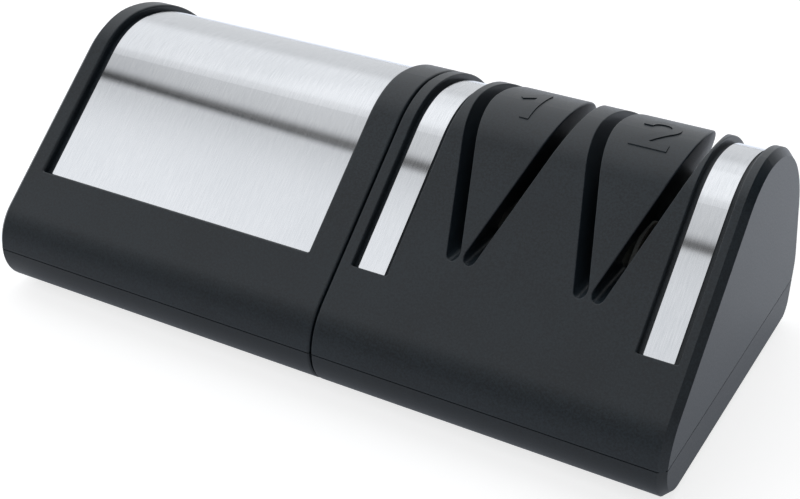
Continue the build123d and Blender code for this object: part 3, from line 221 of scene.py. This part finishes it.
def make_floor():
    """Wide floor. For the camera it glows enough to read as the white backdrop and still hold the
    object's shadow. Reflections see it a little cooler, and brighter towards the back."""
    bm = bmesh.new()
    bmesh.ops.create_circle(bm, cap_ends=True, segments=FLOOR_SIDES, radius=FLOOR_RADIUS)
    floor = link_mesh("floor", bm)
    material = bpy.data.materials.new("floor_white")
    tree = tree_of(material)
    rays = node(tree, "ShaderNodeLightPath").outputs
    place = axes_of(tree, node(tree, "ShaderNodeTexCoord").outputs["Object"])
    mirrored = node(tree, "ShaderNodeMapRange", {"Value": place["Y"], **FLOOR_MIRRORED})
    seen = math_node(tree, "MULTIPLY", rays["Is Camera Ray"], FLOOR_SEEN)
    glow = math_node(tree, "MULTIPLY_ADD", rays["Is Glossy Ray"], mirrored.outputs["Result"], seen)
    shader = node(
        tree,
        "ShaderNodeBsdfPrincipled",
        {
            "Base Color": FLOOR_COLOUR,
            "Roughness": FLOOR_ROUGHNESS,
            "Emission Color": mixed(tree, "MIX", rays["Is Glossy Ray"], WHITE, FLOOR_MIRRORED_TINT),
            "Emission Strength": glow,
        },
    )
    node(tree, "ShaderNodeOutputMaterial", {"Surface": shader.outputs[0]})
    floor.data.materials.append(material)


make_camera()
make_world()
make_floor()
make_lamp()


# ---------------------------------------------------------------- materials
NOISE_RANGE = {"From Min": 0.3, "From Max": 0.7}  # where most of a noise's values lie
FINE_SHARE = 0.8  # of the fine noise in a mottle, the rest being broad noise
BROAD_UNEVENNESS = (45,) * 3  # cycles per metre, as all noise below
BROAD_CLOUD = (25,) * 3

# Frequency of the brushing along X, Y and Z. It is low along the streaks.
SHEET_STREAKS = (5200, 160, 160)
LAMINATION_STREAKS = (1400, 30, 30)
TURNED_STREAKS = (1800, 40, 40)
ROLLED_STREAKS = (40, 1800, 1800)
WIRE_STREAKS = (60, 1500, 1500)

# Place of each look's dark and light colour along its noise.
PLASTIC_SPAN = (0.40, 0.60)
METAL_SPAN = (0.35, 0.65)

# Depth of the relief in millimetres.
PLASTIC_RELIEF = 0.02
BRUSHED_RELIEF = 0.01
SHEET_RELIEF = 0.0025
CAST_RELIEF = 0.03

SHEET_ANISOTROPY = 0.8
SHEET_TURN = 0.25  # a quarter turn, so that the reflections spread across the brushing
BEND_START = 0.0672  # height in metres at which the steel sheets start to bend away
BEND_FALL = 0.0158  # how much lower that is per length along X
BEND_SOFT = 0.003  # height over which the bend sets in
BEND_SLOPE = 0.17  # tangent of the turn, over the sine of the slope

SHARP_ANGLE = math.radians(32)
WELD = 0.001 * MM


def base_tree(name):
    """A new material with its Principled shader, and the place on its piece in metres."""
    material = bpy.data.materials.new(name)
    tree = tree_of(material)
    shader = node(tree, "ShaderNodeBsdfPrincipled")
    node(tree, "ShaderNodeOutputMaterial", {"Surface": shader.outputs[0]})
    place = node(tree, "ShaderNodeTexCoord").outputs["Object"]
    return material, tree, shader, place


def noise(tree, place, per_metre, detail=2.0, roughness=0.5):
    """Noise with its own frequency along each axis."""
    mapped = node(tree, "ShaderNodeMapping", {"Vector": place, "Scale": per_metre})
    made = node(
        tree,
        "ShaderNodeTexNoise",
        {"Vector": mapped.outputs[0], "Scale": 1.0, "Detail": detail, "Roughness": roughness},
    )
    return made.outputs["Fac"]


def mottled(tree, fine, broad):
    """Fine noise with some broad noise in it."""
    rest = math_node(tree, "MULTIPLY", broad, 1 - FINE_SHARE)
    return math_node(tree, "MULTIPLY_ADD", fine, FINE_SHARE, rest)


def colour_surface(tree, shader, tone, span, dark, light):
    """Base colour that follows a tone from dark to light."""
    stops = zip(span, (linear(dark), linear(light)))
    tree.links.new(ramp(tree, tone, tuple(stops)), shader.inputs["Base Color"])


def roughen(tree, shader, fine, low, high):
    """Roughness that follows a noise from low to high."""
    inputs = {"Value": fine, **NOISE_RANGE, "To Min": low, "To Max": high}
    spread = node(tree, "ShaderNodeMapRange", inputs).outputs["Result"]
    tree.links.new(spread, shader.inputs["Roughness"])


def bump(tree, shader, height, distance, below=None):
    """Relief on the shader's normal, in millimetres, laid over a broader relief below it."""
    made = node(tree, "ShaderNodeBump", {"Height": height, "Distance": distance * MM})
    if below:
        tree.links.new(below, made.inputs["Normal"])
    tree.links.new(made.outputs[0], shader.inputs["Normal"])


def sheet_bend(tree, place):
    """Normal of a sheet that starts to bend away a little below the crown."""
    axes = axes_of(tree, place)
    height = math_node(tree, "MULTIPLY_ADD", axes["X"], BEND_FALL, axes["Z"])
    above = math_node(tree, "SUBTRACT", height, BEND_START)
    fall = math_node(tree, "SMOOTH_MAX", above, 0.0, BEND_SOFT)
    made = node(tree, "ShaderNodeBump", {"Height": fall, "Distance": BEND_SLOPE}, invert=True)
    return made.outputs[0]


def settle(shader, **values):
    """Sets plain values on the shader's own sockets."""
    for key, value in values.items():
        shader.inputs[key.replace("_", " ")].default_value = value


def moulded_plastic(name, dark, light, rough, grain=1500):
    """Moulded plastic with a fine matt grain and faint broad unevenness."""
    material, tree, shader, place = base_tree(name)
    fine = noise(tree, place, (grain,) * 3, 3.0, 0.7)
    tone = mottled(tree, fine, noise(tree, place, BROAD_UNEVENNESS))
    colour_surface(tree, shader, tone, PLASTIC_SPAN, dark, light)
    roughen(tree, shader, fine, *rough)
    bump(tree, shader, fine, PLASTIC_RELIEF)
    return material


def brushed_metal(name, dark, light, rough, streaks, sheet=False):
    """Metal with brushing. On a sheet the reflections also spread along X, across the brushing,
    and the sheet has its bend."""
    material, tree, shader, place = base_tree(name)
    lines = noise(tree, place, streaks, 4.0, 0.75)
    tone = mottled(tree, lines, noise(tree, place, BROAD_CLOUD))
    colour_surface(tree, shader, tone, METAL_SPAN, dark, light)
    roughen(tree, shader, lines, *rough)
    settle(shader, Metallic=1.0)
    if sheet:
        bump(tree, shader, lines, SHEET_RELIEF, sheet_bend(tree, place))
        around = node(tree, "ShaderNodeTangent", direction_type="RADIAL", axis="X")
        tree.links.new(around.outputs[0], shader.inputs["Tangent"])
        settle(shader, Anisotropic=SHEET_ANISOTROPY, Anisotropic_Rotation=SHEET_TURN)
    else:
        bump(tree, shader, lines, BRUSHED_RELIEF)
    return material


def cast_metal(name, dark, light, rough, grain=900, metallic=1.0):
    """Cast, plated or sintered metal with a fine mottle."""
    material, tree, shader, place = base_tree(name)
    fine = noise(tree, place, (grain,) * 3, 3.0, 0.6)
    colour_surface(tree, shader, fine, METAL_SPAN, dark, light)
    roughen(tree, shader, fine, *rough)
    bump(tree, shader, fine, CAST_RELIEF)
    settle(shader, Metallic=metallic)
    return material


# Each material slot with its maker, its dark and light colour, its range of roughness, and what
# else the maker takes.
FINISHES = {
    "shell_plastic": (moulded_plastic, "12191f", "232d34", (0.32, 0.44)),
    "tray_plastic": (moulded_plastic, "10161b", "1e262c", (0.34, 0.46)),
    "brushed_plate": (brushed_metal, "ced0d3", "e0e1e3", (0.12, 0.17), SHEET_STREAKS, True),
    "foot_rubber": (moulded_plastic, "0e0e0f", "1c1c1e", (0.7, 0.85), 900),
    "zinc_screws": (cast_metal, "9a9b9c", "c9cacb", (0.25, 0.4)),
    "lamination_steel": (brushed_metal, "4a4c50", "83868a", (0.35, 0.5), LAMINATION_STREAKS),
    "bobbin_nylon": (moulded_plastic, "c9c3ae", "ddd8c6", (0.4, 0.5)),
    "copper_winding": (cast_metal, "8f4a22", "c4713a", (0.3, 0.45)),
    "bracket_zinc": (cast_metal, "8d9093", "b4b6b9", (0.35, 0.55)),
    "sintered_bronze": (cast_metal, "7d6238", "a98850", (0.4, 0.6)),
    "cradle_steel": (brushed_metal, "8a8c90", "b0b2b5", (0.35, 0.5), ROLLED_STREAKS),
    "shaft_steel": (brushed_metal, "b0b2b6", "d6d8da", (0.15, 0.25), TURNED_STREAKS),
    "spring_steel": (brushed_metal, "8e9094", "c0c2c6", (0.2, 0.3), WIRE_STREAKS),
    "fan_nylon": (moulded_plastic, "101113", "1d1f22", (0.35, 0.5)),
    "block_nylon": (moulded_plastic, "1a1b1d", "2b2d30", (0.45, 0.6)),
    "wheel_plastic": (moulded_plastic, "a7a8a4", "c3c4c0", (0.4, 0.5)),
    "diamond_coating": (cast_metal, "55534d", "9b978c", (0.5, 0.8), 2600, 0.7),
    "switch_plastic": (moulded_plastic, "08090a", "121315", (0.22, 0.3)),
}
LOOKS = {name: maker(name, *values) for name, (maker, *values) in FINISHES.items()}


# ---------------------------------------------------------------- pieces
def smooth(piece):
    """Smooth shading that stays sharp at corners. Moves no vertex."""
    mesh = piece.data
    mesh.polygons.foreach_set("use_smooth", [True] * len(mesh.polygons))
    mesh.set_sharp_from_angle(angle=SHARP_ANGLE)


def dress_cad_nodes():
    """Gives each CAD node its procedural material."""
    slot_of = {part["node"]: part["material_slot"] for part in frame["record"]["subparts"]}
    for name, piece in NODES.items():
        smooth(piece)
        look = LOOKS[slot_of[name]]
        slots = piece.data.materials
        if not slots:
            slots.append(look)
        for index in range(len(slots)):
            slots[index] = look


def half_spring(stage, side, far, middle):
    """The half of a stage's spring from its middle to one end."""
    whole = NODES[f"{stage}_spring"]
    bm = bmesh.new()
    bm.from_mesh(whole.data)
    bm.transform(whole.matrix_world)
    bmesh.ops.remove_doubles(bm, verts=bm.verts, dist=WELD)
    cut = bmesh.ops.bisect_plane(
        bm,
        geom=[*bm.verts, *bm.edges, *bm.faces],
        plane_co=middle,
        plane_no=(far.x - middle.x, 0, 0),
        clear_inner=True,
    )
    rim = [part for part in cut["geom_cut"] if isinstance(part, bmesh.types.BMEdge)]
    bmesh.ops.holes_fill(bm, edges=rim)
    half = link_mesh(f"{stage}_spring_{side}", bm)
    half.data.materials.append(LOOKS["spring_steel"])
    smooth(half)
    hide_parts(whole.name)
    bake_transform(half)


def split_springs():
    """Two halves for each stage's spring, one for each of its wheels."""
    for stage in ("stage_1", "stage_2"):
        corners = [Vector(corner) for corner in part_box(f"{stage}_spring")]
        for side, far in zip(("left", "right"), corners):
            half_spring(stage, side, far, (corners[0] + corners[1]) / 2)


dress_cad_nodes()
split_springs()
